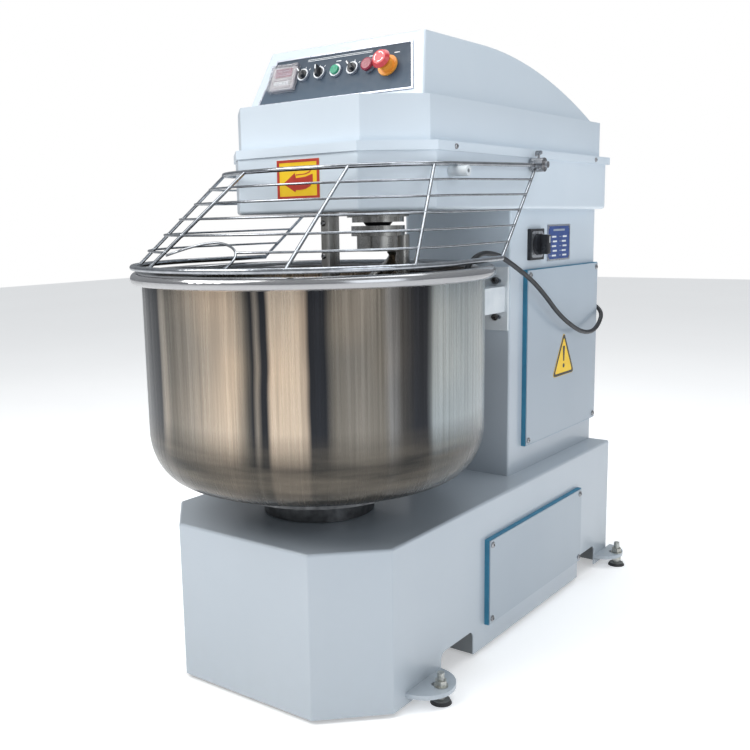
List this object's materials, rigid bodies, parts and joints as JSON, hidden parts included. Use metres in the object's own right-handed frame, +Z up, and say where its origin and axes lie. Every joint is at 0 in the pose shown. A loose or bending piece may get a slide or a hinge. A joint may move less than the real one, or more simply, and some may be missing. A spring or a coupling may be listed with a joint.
{
  "type": "spiral dough mixer",
  "caption": "Floor-standing bakery mixer: box base, rear column and overhanging head carry a turning steel bowl, a spiral tool, a fixed bar and a swing-up wire guard.",
  "frame": {"origin": "centre of the bounding box on the floor, measured without the cord, its coil and its plug", "axes": "+Z up; -Y is the front, where the bowl is; +X is the side with the main switch and the access cover of the column"},
  "size_m": [0.817, 1.4934, 1.4396],
  "materials": {
    "white_paint": "smooth satin blue-white enamel",
    "cover_paint": "satin enamel on folded covers, edges teal",
    "seal_rubber": "dull teal closed-cell gasket",
    "stainless": "polished stainless with fine upright streaks",
    "wire_steel": "bright drawn and welded wire",
    "bright_fasteners": "bright plated",
    "zinc_steel": "dull zinc plate",
    "cast_grey": "machined and oiled cast iron",
    "bearing_steel": "ground steel",
    "belt_rubber": "matt black",
    "seal_black": "matt black lip seal",
    "motor_paint": "semi-gloss blue-grey enamel",
    "frame_steel": "grey primer",
    "control_blue": "satin slate-blue overlay",
    "control_chrome": "bright edging and bezels",
    "knob_black": "matt black with a pale pointer",
    "green_plastic": "glossy green",
    "dark_red_plastic": "glossy dark red",
    "red_plastic": "glossy red",
    "yellow_plastic": "glossy orange-yellow",
    "timer_plastic": "matt dark grey",
    "lid_plastic": "clear moulded lid",
    "switch_black": "fine-textured black",
    "switch_silver": "satin silver face and black grip",
    "plate_blue": "anodised blue with a silver border",
    "sign_yellow": "printed foil",
    "arrow_yellow": "printed foil with a red arrow",
    "nylon_white": "turned white nylon",
    "foot_rubber": "black machine feet",
    "cord_black": "satin black sheath",
    "plug_plastic": "matt red and grey moulded plug",
    "inlet_grey": "matt grey terminal box"
  },
  "bodies": {
    "frame": {"base_shell": "white_paint", "base_frame": "frame_steel", "base_lugs": "white_paint", "levelling_feet": "foot_rubber", "levelling_nuts": "zinc_steel", "side_covers": "cover_paint", "cover_seals": "seal_rubber", "panel_screws": "bright_fasteners", "column_shell": "white_paint", "rear_cover": "cover_paint", "guide_bracket": "nylon_white", "bracket_bolts": "bright_fasteners", "head_box": "white_paint", "head_hood": "white_paint", "control_plate": "control_blue", "control_trim": "control_chrome", "emergency_stop_collar": "yellow_plastic", "timer_body": "timer_plastic", "main_switch_base": "switch_black", "rating_plate": "plate_blue", "warning_sign": "sign_yellow", "arrow_plate": "arrow_yellow", "guard_pins": "bearing_steel", "guard_stops": "nylon_white", "spindle_housing": "stainless", "shaft_bearings": "bearing_steel", "spindle_seal": "seal_black", "drive_belts": "belt_rubber", "spiral_motor": "motor_paint", "motor_shelf": "frame_steel", "breaker_bar": "stainless", "bowl_bearing_housing": "cast_grey", "bowl_motor": "motor_paint", "cord_inlet": "inlet_grey", "power_cord": "cord_black", "cord_coil": "cord_black", "cord_plug": "plug_plastic"},
    "bowl_unit": {"bowl": "stainless", "turntable": "stainless", "bowl_shaft": "bearing_steel", "bowl_pulley": "cast_grey"},
    "bowl_motor_rotor": {"bowl_motor_pulley": "cast_grey"},
    "guide_wheel": {"guide_roller": "nylon_white"},
    "spiral_unit": {"spiral_tool": "stainless", "spindle_shaft": "bearing_steel", "spindle_pulley": "cast_grey"},
    "spiral_motor_rotor": {"spiral_motor_pulley": "cast_grey"},
    "guard": {"guard_top_rod": "wire_steel", "guard_ring": "wire_steel", "guard_wires": "wire_steel", "guard_ribs": "wire_steel", "guard_collars": "bright_fasteners"},
    "selector_1": {"selector_knob_1": "knob_black"},
    "selector_2": {"selector_knob_2": "knob_black"},
    "selector_3": {"selector_knob_3": "knob_black"},
    "start": {"start_button": "green_plastic"},
    "stop": {"stop_button": "dark_red_plastic"},
    "emergency_stop": {"emergency_stop_button": "red_plastic"},
    "timer_cover": {"timer_lid": "lid_plastic"},
    "main_switch": {"main_switch_handle": "switch_silver"}
  },
  "joints": [
    {"name": "bowl_spin", "type": "hinge", "parent": "frame", "child": "bowl_unit", "pos_m": [0, -0.33275, 0.4], "axis": [0, 0, 1], "continuous": true},
    {"name": "bowl_motor_spin", "type": "hinge", "parent": "frame", "child": "bowl_motor_rotor", "pos_m": [0, 0.19075, 0.187], "axis": [0, 0, 1], "continuous": true},
    {"name": "guide_roller_spin", "type": "hinge", "parent": "frame", "child": "guide_wheel", "pos_m": [0.212, 0.0197, 0.835], "axis": [0, 0, 1], "continuous": true},
    {"name": "spiral_spin", "type": "hinge", "parent": "frame", "child": "spiral_unit", "pos_m": [0.04, -0.13225, 1.03], "axis": [0, 0, 1], "continuous": true},
    {"name": "spiral_motor_spin", "type": "hinge", "parent": "frame", "child": "spiral_motor_rotor", "pos_m": [0.1, 0.45075, 1.125], "axis": [0, 0, 1], "continuous": true},
    {"name": "guard_swing", "type": "hinge", "parent": "frame", "child": "guard", "pos_m": [0, 0.17075, 1.162], "axis": [-1, 0, 0], "range_deg": [0, 75]},
    {"name": "selector_1_turn", "type": "hinge", "parent": "frame", "child": "selector_1", "pos_m": [-0.096, -0.23817, 1.37624], "axis": [0, -0.9207, 0.3903], "range_deg": [-84, 0]},
    {"name": "selector_2_turn", "type": "hinge", "parent": "frame", "child": "selector_2", "pos_m": [-0.048, -0.23817, 1.37624], "axis": [0, -0.9207, 0.3903], "range_deg": [-57, 27]},
    {"name": "selector_3_turn", "type": "hinge", "parent": "frame", "child": "selector_3", "pos_m": [0.046, -0.23817, 1.37624], "axis": [0, -0.9207, 0.3903], "range_deg": [-84, 0]},
    {"name": "start_press", "type": "slide", "parent": "frame", "child": "start", "axis": [0, 0.9207, -0.3903], "range_m": [0, 0.003], "stiffness_N_per_m": 400},
    {"name": "stop_press", "type": "slide", "parent": "frame", "child": "stop", "axis": [0, 0.9207, -0.3903], "range_m": [0, 0.003], "stiffness_N_per_m": 400},
    {"name": "emergency_press", "type": "slide", "parent": "frame", "child": "emergency_stop", "axis": [0, 0.9207, -0.3903], "range_m": [0, 0.005], "stiffness_N_per_m": 500},
    {"name": "timer_lid_swing", "type": "hinge", "parent": "frame", "child": "timer_cover", "pos_m": [-0.152, -0.22154, 1.40395], "axis": [-1, 0, 0], "range_deg": [0, 100]},
    {"name": "main_switch_turn", "type": "hinge", "parent": "frame", "child": "main_switch", "pos_m": [0.26, 0.28075, 0.967], "axis": [1, 0, 0], "range_deg": [0, 90]}
  ],
  "couplings": [
    {"joint": "bowl_motor_spin", "follows": "bowl_spin", "ratio": 3.7778},
    {"joint": "guide_roller_spin", "follows": "bowl_spin", "ratio": -14.222},
    {"joint": "spiral_motor_spin", "follows": "spiral_spin", "ratio": 3.4545}
  ]
}
